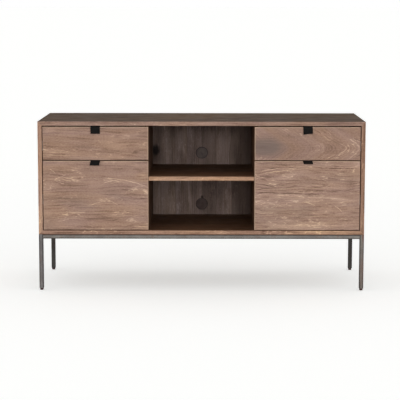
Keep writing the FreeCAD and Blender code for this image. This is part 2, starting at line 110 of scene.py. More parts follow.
class Nodes:
    """A node tree, with short calls for the nodes that the finishes and the light share."""

    def __init__(self, tree):
        self.tree = tree

    def node(self, kind, **settings):
        made = self.tree.nodes.new(kind)
        for key, value in settings.items():
            setattr(made, key, value)
        return made

    def feed(self, socket, value):
        """Link a socket to another node's output, or set it to a plain value."""
        if isinstance(value, bpy.types.NodeSocket):
            self.tree.links.new(value, socket)
        else:
            socket.default_value = value

    def math(self, operation, *values, clamp=False):
        made = self.node("ShaderNodeMath", operation=operation, use_clamp=clamp)
        for socket, value in zip(made.inputs, values):
            self.feed(socket, value)
        return made.outputs[0]

    def add(self, *values):
        total = values[0]
        for value in values[1:]:
            total = self.math("ADD", total, value)
        return total

    def minus(self, value, taken):
        return self.math("SUBTRACT", value, taken)

    def times(self, value, factor):
        return self.math("MULTIPLY", value, factor)

    def vector_math(self, operation, *values):
        made = self.node("ShaderNodeVectorMath", operation=operation)
        for socket, value in zip(made.inputs, values):
            self.feed(socket, value)
        return made

    def split(self, vector):
        made = self.node("ShaderNodeSeparateXYZ")
        self.feed(made.inputs[0], vector)
        return made.outputs

    def join(self, x, y, z):
        made = self.node("ShaderNodeCombineXYZ")
        for socket, value in zip(made.inputs, (x, y, z)):
            self.feed(socket, value)
        return made.outputs[0]

    def noise(self, vector, scale, detail=2.0, seed=0.0, roughness=0.5):
        made = self.node("ShaderNodeTexNoise", noise_dimensions="4D")
        self.feed(made.inputs["Vector"], self.vector_math("MULTIPLY", vector, scale).outputs[0])
        made.inputs["W"].default_value = seed
        made.inputs["Scale"].default_value = 1.0
        made.inputs["Detail"].default_value = detail
        made.inputs["Roughness"].default_value = roughness
        return made.outputs["Fac"]

    def sway(self, vector, scale, reach, **settings):
        """Noise that swings either way round zero."""
        return self.times(self.minus(self.noise(vector, scale, **settings), 0.5), reach)

    def spread(self, value, low, high, to_low=0.0, to_high=1.0):
        """Stretch a range of a value over another one, with soft ends."""
        made = self.node("ShaderNodeMapRange", interpolation_type="SMOOTHSTEP")
        for socket, given in zip(made.inputs, (value, low, high, to_low, to_high)):
            self.feed(socket, given)
        return made.outputs[0]

    def ramp(self, value, stops):
        """Colours along a value: stops are (place, colour)."""
        made = self.node("ShaderNodeValToRGB")
        elements = made.color_ramp.elements
        while len(elements) < len(stops):
            elements.new(0.5)
        for element, (place, colour) in zip(elements, stops):
            element.position = place
            element.color = colour
        self.feed(made.inputs[0], value)
        return made.outputs["Color"]

    def mix(self, factor, first, second, blend="MIX"):
        made = self.node("ShaderNodeMix", data_type="RGBA", blend_type=blend)
        for index, value in ((0, factor), (6, first), (7, second)):
            self.feed(made.inputs[index], value)
        return made.outputs[2]

    def seen(self):
        """One for the rays that see a white studio: the camera's, mirrored and refracted ones."""
        rays = self.node("ShaderNodeLightPath").outputs
        mirrored = self.math("MAXIMUM", rays["Is Camera Ray"], rays["Is Glossy Ray"])
        return self.math("MAXIMUM", mirrored, rays["Is Transmission Ray"])


class Recipe(Nodes):
    """A material that is being made."""

    def __init__(self, name):
        self.material = bpy.data.materials.new(name)
        self.material.use_nodes = True
        super().__init__(self.material.node_tree)
        self.surface = self.tree.nodes["Principled BSDF"]

    def set(self, **values):
        """Set or link the shader's own sockets: base_color becomes Base Color."""
        for key, value in values.items():
            self.feed(self.surface.inputs[key.replace("_", " ").title().replace("Ior", "IOR")], value)

    def place(self):
        """The point on the piece, in the frame of the part at rest."""
        return self.node("ShaderNodeTexCoord").outputs["Object"]

    def towards(self, direction):
        """The cosine between the surface's normal and a direction."""
        normal = self.node("ShaderNodeNewGeometry").outputs["True Normal"]
        return self.vector_math("DOT_PRODUCT", normal, DIRECTIONS[direction]).outputs["Value"]

    def faces(self, direction):
        """One where the surface faces a direction, else zero."""
        return self.math("GREATER_THAN", self.towards(direction), 0.6)

    def bump(self, height, distance, strength=1.0):
        made = self.node("ShaderNodeBump")
        made.inputs["Strength"].default_value = strength
        made.inputs["Distance"].default_value = distance
        self.feed(made.inputs["Height"], height)
        return made.outputs[0]


# ---------------------------------------------------------------- wood

class Palette:
    """A wood's colours, from its darkest lines to its palest flecks, and the grey of weathering."""

    def __init__(self, dark, middle, light, pale, grey):
        self.dark = srgb(*dark)
        self.middle = srgb(*middle)
        self.light = srgb(*light)
        self.pale = srgb(*pale)
        self.grey = srgb(*grey)


WASHED = Palette((98, 72, 60), (160, 130, 114), (182, 151, 133), (212, 184, 158), (126, 109, 101))
BACKED = Palette((84, 68, 60), (146, 125, 116), (176, 154, 144), (200, 176, 162), (118, 104, 98))
RAW = Palette((150, 112, 76), (212, 186, 148), (228, 206, 170), (238, 222, 192), (196, 174, 144))

# What the way a face points does to its colour, all painted light and shade: front edges and the
# shelf's front edge painted lighter, painted shade on the top, the faces inside, the niche walls and the
# edges of the drawer fronts and dividers
PAINTED_LIGHT_EDGE = (1.08, 1.02, 0.94)
PAINTED_LIGHT_SHELF_EDGE = (1.31, 1.24, 1.06)
PAINTED_SHADE_TOP = (0.225, 0.18, 0.10)
PAINTED_SHADE_INSIDE = (0.42, 0.33, 0.24)
PAINTED_SHADE_WALL = (0.27, 0.21, 0.15)
PAINTED_SHADE_EDGE = (0.34, 0.27, 0.20)
WOOD_ROUGHNESS = 0.62
TOP_ROUGHNESS = 0.71

# Tints that wander over a board
COOL_HUE = (0.985, 0.99, 1.035, 1.0)
WARM_HUE = (1.035, 1.01, 0.93, 1.0)


@dataclass
class Spot:
    """A soft patch on a board's face, at a place along and across the grain."""
    along: float
    across: float
    length: float
    height: float
    amount: float


@dataclass
class Vein:
    """One thread that stands out on a board's face: its two ends, and how far it bows up between."""
    start: tuple
    end: tuple
    bow: float
    amount: float


@dataclass
class Board:
    """How a board was sawn.

    Its grain runs along one axis, and the tree's heart lies beside the board, parallel to the grain,
    at `heart` in the other two axes.  The tree tapers towards +grain, which draws the tall arches of
    flat-sawn wood.  `ring` is how far apart the rings stand, `arches` how dark they are and `waver`
    how far they wander.  `tone` makes the whole board lighter, `contrast` its streaks stronger.
    Pushes move the rings aside, as a branch does.  Veins are single threads and glints gather pale
    ones.  Greys, warms and lights are patches.  Each of a board's noises adds its own number to
    `seed`.
    """
    grain: str = "X"
    seed: float = 0.0
    heart: tuple = (0.1, 0.1)
    taper: float = 0.0
    ring: float = 15 * MM
    arches: float = 0.3
    waver: float = 12 * MM
    tone: float = 0.0
    contrast: float = 1.0
    veins: tuple = ()
    pushes: tuple = ()
    glints: tuple = ()
    greys: tuple = ()
    warms: tuple = ()
    lights: tuple = ()


def grain_place(recipe, board):
    """The point on the piece as (along the grain, and the two directions across it)."""
    x, y, z = recipe.split(recipe.place())
    return {"X": (x, y, z), "Y": (y, z, x), "Z": (z, y, x)}[board.grain]


def spot_shade(recipe, along, across, spot):
    """A soft mound of height `amount` over the spot."""
    run = recipe.math("DIVIDE", recipe.minus(along, spot.along), spot.length)
    rise = recipe.math("DIVIDE", recipe.minus(across, spot.across), spot.height)
    square = recipe.add(recipe.times(run, run), recipe.times(rise, rise))
    mound = recipe.math("EXPONENT", recipe.times(square, -1.0))
    return recipe.times(mound, spot.amount)


def spot_shades(recipe, along, across, spots):
    return [spot_shade(recipe, along, across, spot) for spot in spots]


def vein_shade(recipe, along, across, vein):
    """A thin bowed line of strength `amount` that fades at its ends."""
    reach = vein.end[0] - vein.start[0]
    share = recipe.math("DIVIDE", recipe.minus(along, vein.start[0]), reach)
    arch = recipe.times(recipe.minus(share, recipe.times(share, share)), 4 * vein.bow)
    course = recipe.math("MULTIPLY_ADD", share, vein.end[1] - vein.start[1], vein.start[1])
    aside = recipe.math("ABSOLUTE", recipe.minus(across, recipe.add(course, arch)))
    from_middle = recipe.math("ABSOLUTE", recipe.minus(share, 0.5))
    ends = recipe.spread(from_middle, 0.3, 0.5, vein.amount, 0.0)
    return recipe.times(recipe.spread(aside, 0.4 * MM, 2.4 * MM, 1.0, 0.0), ends)


def ring_radius(recipe, board, along, depth, across):
    """The point's distance from the heart, as the growth rings count it."""
    point = recipe.join(along, depth, across)
    shift = recipe.add(recipe.sway(point, (2.4, 12, 12), board.waver * 2.4, detail=2, seed=board.seed),
                       recipe.sway(point, (10, 45, 45), board.waver * 0.9, detail=2, seed=board.seed + 5),
                       recipe.sway(point, (42, 90, 90), board.waver * 0.4, detail=2, seed=board.seed + 7),
                       *spot_shades(recipe, along, across, board.pushes))
    height = recipe.add(across, -board.heart[1], shift)
    sink = recipe.minus(depth, board.heart[0])
    distance = recipe.math("SQRT", recipe.add(recipe.times(height, height), recipe.times(sink, sink)))
    return recipe.math("MULTIPLY_ADD", along, board.taper, distance)


def ring_lines(recipe, board, radius, point):
    """Dark late wood at the end of each ring, which fades and returns along the board."""
    strength = recipe.spread(recipe.noise(point, (7, 26, 26), 3, board.seed + 13), 0.38, 0.64)
    coarse = recipe.math("POWER", recipe.math("FRACT", recipe.math("DIVIDE", radius, board.ring)), 3.0)
    fine = recipe.math("POWER", recipe.math("FRACT", recipe.math("DIVIDE", radius, board.ring / 3.3)), 2.0)
    lines = recipe.math("MULTIPLY_ADD", fine, 0.5, coarse)
    return recipe.times(lines, strength)


def threads(recipe, flow, scale, width, seed):
    """Thin threads that run with the grain, part, and close into narrow eyes."""
    field = recipe.sway(flow, scale, 1.0, detail=2, seed=seed)
    return recipe.spread(recipe.math("ABSOLUTE", field), 0.0, width, 1.0, 0.0)


def wood_value(recipe, board, along, depth, across, radius):
    """How light the wood is at a point, about 0.45 in the middle of its palette."""
    point = recipe.join(along, depth, across)
    flow = recipe.join(along, radius, depth)
    zone = recipe.sway(flow, (1.8, 24, 3), 0.55 * board.contrast, detail=2, seed=board.seed + 9)
    streak = recipe.sway(flow, (9, 125, 60), 0.55 * board.contrast, detail=3, seed=board.seed + 17,
                         roughness=0.7)
    grit = recipe.sway(point, (120, 190, 190), 0.45, detail=2, seed=board.seed + 25)
    rings = recipe.times(ring_lines(recipe, board, radius, point), -board.arches)
    gathered = recipe.add(recipe.noise(point, (7, 22, 22), 3, board.seed + 31),
                          *spot_shades(recipe, along, across, board.glints))
    pale = recipe.times(threads(recipe, flow, (12, 80, 50), 0.03, board.seed + 33),
                        recipe.spread(gathered, 0.44, 0.66, 0.0, 0.5))
    clustered = recipe.noise(point, (5, 20, 20), 2, board.seed + 39)
    dark = recipe.times(threads(recipe, flow, (3.5, 60, 30), 0.035, board.seed + 37),
                        recipe.spread(clustered, 0.42, 0.6, 0.0, -0.26 * board.contrast))
    wavering = recipe.add(across, recipe.sway(point, (40, 90, 90), 9 * MM, detail=2, seed=board.seed + 45))
    veins = [vein_shade(recipe, along, wavering, vein) for vein in board.veins]
    return recipe.add(0.52 + board.tone, zone, streak, grit, rings, pale, dark, *veins,
                      *spot_shades(recipe, along, across, board.lights))


def wood_figure(recipe, board, palette, parts=None):
    """Colour and relief of one board: rings, growth zones, threads, weathering, fibres and open pores."""
    along, depth, across = parts or grain_place(recipe, board)
    point = recipe.join(along, depth, across)
    radius = ring_radius(recipe, board, along, depth, across)
    value = wood_value(recipe, board, along, depth, across, radius)
    colour = recipe.ramp(value, [(0.0, palette.dark), (0.45, palette.middle),
                                 (0.68, palette.light), (1.0, palette.pale)])
    warmth = recipe.add(recipe.noise(recipe.join(along, radius, depth), (3, 22, 9), 3, board.seed + 43),
                        *spot_shades(recipe, along, across, board.warms))
    hue = recipe.mix(recipe.spread(warmth, 0.3, 0.7), COOL_HUE, WARM_HUE)
    colour = recipe.mix(1.0, colour, hue, blend="MULTIPLY")
    blotch = recipe.spread(recipe.noise(point, (2.4, 9, 9), 3, board.seed + 41), 0.52, 0.72, 0.0, 0.4)
    grey = recipe.add(blotch, *spot_shades(recipe, along, across, board.greys))
    colour = recipe.mix(recipe.math("MINIMUM", grey, 0.9), colour, palette.grey)
    fibre = recipe.noise(point, (9, 420, 420), 3, board.seed + 21)
    pore = recipe.spread(recipe.noise(point, (55, 1100, 1100), 1, board.seed + 29), 0.64, 0.76)
    colour = recipe.mix(recipe.spread(fibre, 0.5, 0.75, 0.0, 0.28), colour, palette.light)
    colour = recipe.mix(recipe.spread(fibre, 0.5, 0.28, 0.0, 0.22), colour, palette.dark)
    colour = recipe.mix(recipe.times(pore, 0.6), colour, palette.dark)
    relief = recipe.math("MULTIPLY_ADD", fibre, 0.5, recipe.times(value, 0.4))
    return colour, recipe.minus(relief, pore)


def tint_faces(recipe, colour, tints):
    """Multiply the colour of the faces that look in the named directions."""
    for direction, tint in tints.items():
        colour = recipe.mix(recipe.faces(direction), colour, (*tint, 1.0), blend="MULTIPLY")
    return colour


def finish_wood(recipe, colour, relief, roughness=WOOD_ROUGHNESS):
    """A matte, slightly open-pored surface."""
    patchy = recipe.noise(recipe.place(), (14, 14, 14), 3, 3.0)
    recipe.set(base_color=colour,
               roughness=recipe.spread(patchy, 0.3, 0.7, roughness - 0.06, roughness + 0.08),
               specular_ior_level=0.12,
               normal=recipe.bump(relief, 0.12 * MM, 0.6))
    return recipe.material


def board_wood(name, board, tints=None, palette=WASHED, roughness=WOOD_ROUGHNESS):
    recipe = Recipe(name)
    colour, relief = wood_figure(recipe, board, palette)
    return finish_wood(recipe, tint_faces(recipe, colour, tints or {}), relief, roughness)


def rim_band(recipe, inset, width, amount):
    """Full at a ragged edge, fading over `width`; the inset is the distance from the edge."""
    ragged = recipe.sway(recipe.place(), (60, 60, 60), width * 0.6, detail=2, seed=8.0)
    return recipe.spread(recipe.add(inset, ragged), width * 0.2, width, amount, 0.0)


def front_rims(recipe, node):
    """A painted highlight along a drawer front's top edge and the edge beside the niche, and painted shade
    along its other edges.
    """
    low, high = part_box(node)
    x, _, z = recipe.split(recipe.place())
    aside = recipe.math("ABSOLUTE", x)
    nearest, farthest = sorted((abs(low.x), abs(high.x)))
    highlight_rim = recipe.math("MINIMUM", recipe.minus(high.z, z), recipe.minus(aside, nearest))
    shade_rim = recipe.math("MINIMUM", recipe.minus(z, low.z), recipe.minus(farthest, aside))
    return rim_band(recipe, highlight_rim, 4 * MM, 0.8), rim_band(recipe, shade_rim, 2 * MM, 0.75)


def front_wood(drawer, board):
    """A drawer front's own board, with a painted highlight rim along its top and niche-side edges, a
    painted shade rim along its other edges, and painted shade on its edge faces.
    """
    recipe = Recipe(drawer + "_front_wood")
    colour, relief = wood_figure(recipe, board, WASHED)
    highlight_rim, shade_rim = front_rims(recipe, drawer + "_drawer_front")
    colour = recipe.mix(highlight_rim, colour, WASHED.pale)
    colour = recipe.mix(shade_rim, colour, WASHED.dark)
    shaded_edges = {direction: PAINTED_SHADE_EDGE for direction in ("up", "down", "left", "right")}
    return finish_wood(recipe, tint_faces(recipe, colour, shaded_edges), relief)


def bottom_panel_wood(board):
    """The lowest board: painted shade on its inner face and along its foot, where its front edge meets the
    steel, and its front edge painted lighter.
    """
    recipe = Recipe("bottom_panel_wood")
    colour, relief = wood_figure(recipe, board, WASHED)
    height = recipe.minus(recipe.split(recipe.place())[2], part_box("bottom_panel")[0].z)
    colour = tint_faces(recipe, colour, {"up": PAINTED_SHADE_INSIDE, "front": PAINTED_LIGHT_EDGE})
    # Painted shade along the foot of the board, where it meets the steel rail
    colour = recipe.mix(rim_band(recipe, height, 4.5 * MM, 0.8), colour, WASHED.dark)
    return finish_wood(recipe, colour, relief)


# The back panel's staves; on its inner face, paler and darker patches, placed upwards and sideways, some
# of them tone and some painted shade towards its right end, beside the left wall and under the top of the
# upper niche; a leaning streak of sapwood; and knots, each with its place, level, radius and darkness
STAVE_WIDTH = 74 * MM
PANEL_TONES_AND_SHADE = [Spot(0.64, 0.11, 0.09, 0.035, 0.3), Spot(0.66, -0.05, 0.06, 0.12, 0.15),
                 Spot(0.52, 0.265, 0.5, 0.05, -1.3), Spot(0.58, -0.235, 0.05, 0.03, -0.8),
                 Spot(0.74, 0.0, 0.03, 0.3, -0.5)]
SAPWOOD = Spot(0.37, -0.016, 0.07, 0.008, 0.8)
SAPWOOD_LEAN = 0.12
KNOTS = ((-0.232, 0.610, 21 * MM, 0.9), (0.001, 0.372, 7 * MM, 0.75))
KNOT_HEART = srgb(34, 27, 26)


def back_panel_wood():
    """Upright staves glued edge to edge, each from another board, with two knots."""
    recipe = Recipe("back_panel_wood")
    x, y, z = recipe.split(recipe.place())
    drift = recipe.sway(recipe.join(x, 0.0, z), (6, 1, 1.5), 0.12, detail=2, seed=2.0)
    number = recipe.math("DIVIDE", recipe.add(x, drift), STAVE_WIDTH)
    stave = recipe.math("FLOOR", number)
    chance = recipe.node("ShaderNodeTexWhiteNoise", noise_dimensions="1D")
    recipe.feed(chance.inputs["W"], stave)
    shifted = recipe.math("MULTIPLY_ADD", stave, 0.37, z)
    board = Board(grain="Z", seed=4.0, heart=(0.2, -0.9), ring=11 * MM, waver=10 * MM, contrast=0.8)
    colour, relief = wood_figure(recipe, board, BACKED, (shifted, y, x))
    tone = recipe.spread(chance.outputs["Value"], 0.0, 1.0, 0.0, 0.6)
    colour = recipe.mix(tone, colour, BACKED.dark)
    # Patches of tone and of painted shade, on the inner face only
    patches = recipe.times(recipe.add(*spot_shades(recipe, z, x, PANEL_TONES_AND_SHADE)), recipe.faces("front"))
    cloud = recipe.add(recipe.sway(recipe.join(x, 0.0, z), (18, 1, 4), 1.7, detail=3, seed=12.0), patches)
    colour = recipe.mix(recipe.math("ADD", cloud, 0.15, clamp=True), colour, BACKED.light)
    colour = recipe.mix(recipe.math("MULTIPLY_ADD", cloud, -1.0, 0.1, clamp=True), colour, BACKED.dark)
    leaning = recipe.math("MULTIPLY_ADD", z, SAPWOOD_LEAN, x)
    colour = recipe.mix(spot_shade(recipe, z, leaning, SAPWOOD), colour, BACKED.light)
    joint = recipe.math("LESS_THAN", recipe.math("FRACT", number), 0.02)
    colour = recipe.mix(recipe.times(joint, 0.6), colour, BACKED.dark)
    for centre, level, radius, depth in KNOTS:
        shade = knot_shade(recipe, x, z, centre, level, radius)
        colour = recipe.mix(recipe.times(shade, depth), colour, KNOT_HEART)
    return finish_wood(recipe, colour, relief)


def knot_shade(recipe, x, z, centre, level, radius):
    """Dark inside a knot a little taller than wide, fading over its ragged rim."""
    ragged = recipe.sway(recipe.join(x, 0.0, z), (90, 1, 90), radius * 0.7, detail=3, seed=7.0)
    reach = distance_from(recipe, x, z, centre, level, 0.8)
    return recipe.spread(recipe.add(reach, ragged), radius * 0.55, radius * 1.35, 1.0, 0.0)


def distance_from(recipe, x, z, centre, level, squeeze=1.0):
    """How far a point lies from a centre on an upright face; a squeeze shortens it upwards."""
    run = recipe.minus(x, centre)
    rise = recipe.times(recipe.minus(z, level), squeeze)
    return recipe.math("SQRT", recipe.add(recipe.times(run, run), recipe.times(rise, rise)))


# ---------------------------------------------------------------- other finishes

STEEL_DARK = srgb(112, 106, 101)
STEEL_PALE = srgb(134, 129, 123)
MILL_SCALE = srgb(88, 82, 79)
RUST = srgb(112, 84, 68)
RUST_STREAK = srgb(116, 74, 56)
STEEL_SIDE_SHADE = srgb(46, 42, 40)
STEEL_EDGE_SHADE = srgb(52, 44, 41)


def gunmetal(name, tint, node=None, axis="X", streaks=()):
    """Waxed hot-rolled steel: grey-brown, with mill scale and rust, and painted shade on all faces but
    front and back.

    Where the tube is a node of its own, painted shade darkens it along its two edges across an axis.
    """
    recipe = Recipe(name)
    place = recipe.place()
    cloud = recipe.noise(place, (16, 16, 16), 4, 1.0)
    scale = recipe.noise(place, (160, 160, 160), 4, 2.0, 0.65)
    rub = recipe.noise(place, (700, 700, 40), 2, 3.0)
    rust = recipe.spread(recipe.noise(place, (22, 60, 9), 4, 4.0, 0.7), 0.52, 0.7, 0.0, 0.55)
    colour = recipe.mix(recipe.spread(cloud, 0.35, 0.68), STEEL_DARK, STEEL_PALE)
    colour = recipe.mix(recipe.spread(scale, 0.5, 0.75, 0.0, 0.45), colour, MILL_SCALE)
    colour = recipe.mix(rust, colour, RUST)
    # Painted shade on the faces that point neither to the front nor to the back
    facing = recipe.math("ABSOLUTE", recipe.towards("front"))
    colour = recipe.mix(recipe.spread(facing, 0.4, 0.95, 0.55, 0.0), colour, STEEL_SIDE_SHADE)
    if node:
        colour = recipe.mix(edge_shade(recipe, node, "XYZ".index(axis)), colour, STEEL_EDGE_SHADE)
    x, _, z = recipe.split(place)
    for streak in spot_shades(recipe, z, x, streaks):
        colour = recipe.mix(streak, colour, RUST_STREAK)
    colour = recipe.mix(1.0, colour, (*tint, 1.0), blend="MULTIPLY")
    recipe.set(base_color=colour,
               metallic=0.5,
               roughness=recipe.spread(recipe.math("MULTIPLY_ADD", rub, 0.4, cloud), 0.4, 1.0, 0.38, 0.62),
               normal=recipe.bump(recipe.math("MULTIPLY_ADD", rub, 0.3, scale), 0.05 * MM, 0.5))
    return recipe.material


def edge_shade(recipe, node, axis):
    """How much painted shade darkens a tube towards its two edges, across an axis."""
    low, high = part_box(node)
    position = recipe.split(recipe.place())[axis]
    inset = recipe.math("MINIMUM", recipe.minus(position, low[axis]), recipe.minus(high[axis], position))
    ragged = recipe.sway(recipe.place(), (60, 60, 60), 3 * MM, detail=2, seed=9.0)
    return recipe.spread(recipe.add(inset, ragged), 1.5 * MM, 6.5 * MM, 0.92, 0.0)


def zinc_plate():
    """Bright zinc on rolled steel, drawn along its length."""
    recipe = Recipe("zinc_plate")
    place = recipe.place()
    drawn = recipe.noise(place, (900, 12, 900), 3, 1.0)
    cloud = recipe.noise(place, (30, 30, 30), 3, 2.0)
    colour = recipe.mix(recipe.spread(cloud, 0.3, 0.7), srgb(176, 178, 180), srgb(198, 200, 200))
    recipe.set(base_color=colour,
               metallic=1.0,
               roughness=recipe.spread(drawn, 0.3, 0.7, 0.28, 0.42),
               normal=recipe.bump(drawn, 0.02 * MM, 0.4))
    return recipe.material


def satin_aluminium():
    recipe = Recipe("satin_aluminium")
    drawn = recipe.noise(recipe.place(), (1100, 9, 1100), 3, 1.0)
    colour = recipe.mix(recipe.spread(drawn, 0.3, 0.7), srgb(186, 187, 188), srgb(206, 207, 208))
    recipe.set(base_color=colour,
               metallic=1.0,
               roughness=recipe.spread(drawn, 0.3, 0.7, 0.34, 0.46),
               normal=recipe.bump(drawn, 0.02 * MM, 0.4))
    return recipe.material


HIDE = srgb(19, 17, 15)
HIDE_WORN = srgb(28, 25, 22)
HIDE_GROOVE_SHADE = srgb(10, 9, 8)


def black_leather():
    """Thick matte hide: fine pebbled grain, broken by creases."""
    recipe = Recipe("black_leather")
    place = recipe.place()
    cells = recipe.node("ShaderNodeTexVoronoi", feature="DISTANCE_TO_EDGE")
    recipe.feed(cells.inputs["Vector"], place)
    cells.inputs["Scale"].default_value = 1250
    pebble = recipe.spread(cells.outputs["Distance"], 0.0, 0.22)
    worn = recipe.noise(place, (60, 60, 60), 4, 5.0)
    crease = recipe.spread(recipe.noise(place, (500, 120, 120), 3, 6.0), 0.6, 0.75)
    colour = recipe.mix(recipe.spread(worn, 0.4, 0.75), HIDE, HIDE_WORN)
    # Painted shade in the grooves between the pebbles
    colour = recipe.mix(recipe.times(recipe.minus(1.0, pebble), 0.5), colour, HIDE_GROOVE_SHADE)
    relief = recipe.minus(pebble, recipe.times(crease, 0.6))
    recipe.set(base_color=colour,
               roughness=recipe.spread(worn, 0.3, 0.7, 0.62, 0.76),
               specular_ior_level=0.12,
               normal=recipe.bump(relief, 0.08 * MM, 0.5))
    return recipe.material


PLASTIC_ROUGHNESS = 0.5
FOOT_BROWN = srgb(76, 52, 50)
INSERT_BLACK = srgb(40, 38, 37)
PLUG_COLOURS = {"upper": srgb(122, 108, 103), "lower": srgb(102, 84, 79)}
PORT_SHADE = srgb(30, 25, 23)


def plug_plastic(name, node, colour):
    """A cable port's plug: textured nylon, with painted shade in the ring round its face."""
    low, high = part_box(node)
    recipe = moulded_plastic(name, colour)
    x, _, z = recipe.split(recipe.place())
    reach = distance_from(recipe, x, z, (low.x + high.x) / 2, (low.z + high.z) / 2)
    rim = PORT_RADIUS - PORT_RING
    shade = recipe.spread(reach, rim - 0.8 * MM, rim + 0.4 * MM, 0.0, 0.9)
    plain = recipe.surface.inputs["Base Color"].links[0].from_socket
    recipe.set(base_color=recipe.mix(shade, plain, PORT_SHADE))
    return recipe.material


def moulded_plastic(name, colour):
    """Moulded nylon with a fine spark-eroded texture, as a recipe that can be added to."""
    recipe = Recipe(name)
    place = recipe.place()
    grain = recipe.noise(place, (1800, 1800, 1800), 2, 1.0)
    scuff = recipe.noise(place, (45, 45, 45), 4, 2.0)
    darker = [channel * 0.72 for channel in colour[:3]] + [1.0]
    recipe.set(base_color=recipe.mix(recipe.spread(scuff, 0.35, 0.7), colour, darker),
               roughness=recipe.spread(scuff, 0.3, 0.7, PLASTIC_ROUGHNESS, PLASTIC_ROUGHNESS + 0.14),
               specular_ior_level=0.2,
               normal=recipe.bump(grain, 0.03 * MM, 0.5))
    return recipe


def floor_paint():
    """White floor.  Its own light keeps the shadow; the camera sees it brightened to white."""
    recipe = Recipe("studio_floor")
    recipe.set(base_color=(FLOOR_GREY, FLOOR_GREY, FLOOR_GREY, 1.0), roughness=0.9, specular_ior_level=0.0)
    recipe.set(emission_color=FLOOR_TINT,
               emission_strength=recipe.times(recipe.seen(), FLOOR_GLOW))
    return recipe.material


# ---------------------------------------------------------------- pieces

def make_piece(name, shape, material, body):
    """Turn a bmesh into a smooth-shaded object that rides on a body."""
    mesh = bpy.data.meshes.new(name)
    bmesh.ops.recalc_face_normals(shape, faces=shape.faces)
    shape.to_mesh(mesh)
    shape.free()
    mesh.polygons.foreach_set("use_smooth", [True] * len(mesh.polygons))
    mesh.materials.append(material)
    piece = bpy.data.objects.new(name, mesh)
    bpy.context.scene.collection.objects.link(piece)
    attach(piece, body)
    return piece


def rounded_section(width, thickness, corner, arc_steps=3, face_steps=6):
    """Points round a strap's section: (across the width, through the thickness)."""
    points = []
    for turn in range(4):
        sign_x = 1 if turn in (0, 3) else -1
        sign_y = 1 if turn in (0, 1) else -1
        centre = (sign_x * (width / 2 - corner), sign_y * (thickness / 2 - corner))
        for step in range(arc_steps + 1):
            angle = math.pi / 2 * (turn + step / arc_steps)
            points.append((centre[0] + corner * math.cos(angle), centre[1] + corner * math.sin(angle)))
        if turn in (0, 2):
            reach = width - 2 * corner
            for step in range(1, face_steps):
                points.append((centre[0] - sign_x * reach * step / face_steps, sign_y * thickness / 2))
    return points


@dataclass
class TabStyle:
    """How one tab hangs.

    It leans out from the drawer front by an angle, its flap curls by `droop` degrees, and its bend
    stands `hump` above the front's top edge.  Age has pulled it out of true: `skew` moves its tip
    sideways, and `slant` lifts the tip's right corner and lowers the left one.
    """
    lean: float
    droop: float
    hump: float
    skew: float
    slant: float


TAB_STYLES = {
    "upper_left": TabStyle(lean=3, droop=3, hump=2.2 * MM, skew=0.0, slant=0.0),
    "upper_right": TabStyle(lean=4, droop=3, hump=2.2 * MM, skew=1.6 * MM, slant=2.6 * MM),
    "lower_left": TabStyle(lean=53, droop=8, hump=0.3 * MM, skew=-3.2 * MM, slant=-0.4 * MM),
    "lower_right": TabStyle(lean=70, droop=8, hump=0.3 * MM, skew=2.6 * MM, slant=-0.4 * MM),
}


def heading(degrees):
    return Vector((math.cos(math.radians(degrees)), math.sin(math.radians(degrees)), 0.0))


def tab_path(style):
    """The strap's middle line from tail to tip, and the number of the station where its flap starts.

    X counts back from the drawer front's face and Y up from its top edge.
    """
    half = TAB_THICKNESS / 2
    tail_depth = FRONT_THICKNESS - half
    tail = Vector((tail_depth, -TAB_TAIL, 0.0))
    shoulder = Vector((tail_depth, -1.5 * MM, 0.0))
    crown = Vector((FRONT_THICKNESS * 0.42, half + style.hump, 0.0))
    flap = heading(270 - style.lean)
    bend = Vector((EASED_EDGE, -EASED_EDGE, 0.0)) + (half + EASED_EDGE) * heading(180 - style.lean)
    pull = 5.5 * MM
    up = pull * heading(90)
    forward = pull * heading(180)
    curves = ((tail, up, up, shoulder, 6),
              (shoulder, 0.6 * up, 0.9 * forward, crown, 7),
              (crown, 0.8 * forward, 0.35 * pull * flap, bend, 9))
    line = [tail]
    for start, leaving, arriving, end, points in curves:
        line += geometry.interpolate_bezier(start, start + leaving, end - arriving, end, points)[1:]
    flap_start = len(line) - 1
    steps = 14
    step_length = (TAB_HANG - EASED_EDGE * math.cos(math.radians(style.lean))) / steps
    for step in range(1, steps + 1):
        turn = style.droop * (step / steps - 0.5)
        line.append(line[-1] + step_length * heading(270 - style.lean + turn))
    return line, flap_start


def make_pull_tab(drawer, leather):
    """Leather strap lofted along its path, with rounded edges and a square-cut tip."""
    low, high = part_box(drawer + "_drawer_front")
    middle = (low.x + high.x) / 2
    style = TAB_STYLES[drawer]
    line, flap_start = tab_path(style)
    section = rounded_section(TAB_WIDTH, TAB_THICKNESS, TAB_CORNER)
    shape = bmesh.new()
    loops = []
    last = len(line) - 1
    for index, point in enumerate(line):
        along = (line[min(index + 1, last)] - line[max(index - 1, 0)]).normalized()
        out = Vector((along.y, -along.x, 0.0))
        flap = max(0.0, (index - flap_start) / (last - flap_start))
        thinning = 0.55 if index in (0, last) else 1.0
        loop = []
        for across, through in section:
            lift = style.slant * across / TAB_WIDTH * 2 * flap
            place = point + out * (through * thinning) - along * lift
            aside = middle + across + style.skew * flap
            loop.append(shape.verts.new((aside, low.y + place.x, high.z + place.y)))
        loops.append(loop)
    count = len(section)
    for first, second in zip(loops, loops[1:]):
        for index in range(count):
            following = (index + 1) % count
            shape.faces.new((first[index], first[following], second[following], second[index]))
    shape.faces.new(loops[0])
    shape.faces.new(loops[-1])
    piece = make_piece(drawer + "_leather_tab", shape, leather, drawer + "_drawer")
    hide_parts(drawer + "_pull_tab")


SCREW_TURN = 37                   # degrees from where one screw stops to where the next one does

# The radius and height of each kind of screw head
PANEL_SCREW = (3.4 * MM, 1.6 * MM)
BASE_SCREW = (4 * MM, 2.5 * MM)
TAB_SCREW = (3 * MM, 1.4 * MM)
FRONT_SCREW = (4 * MM, 2 * MM)


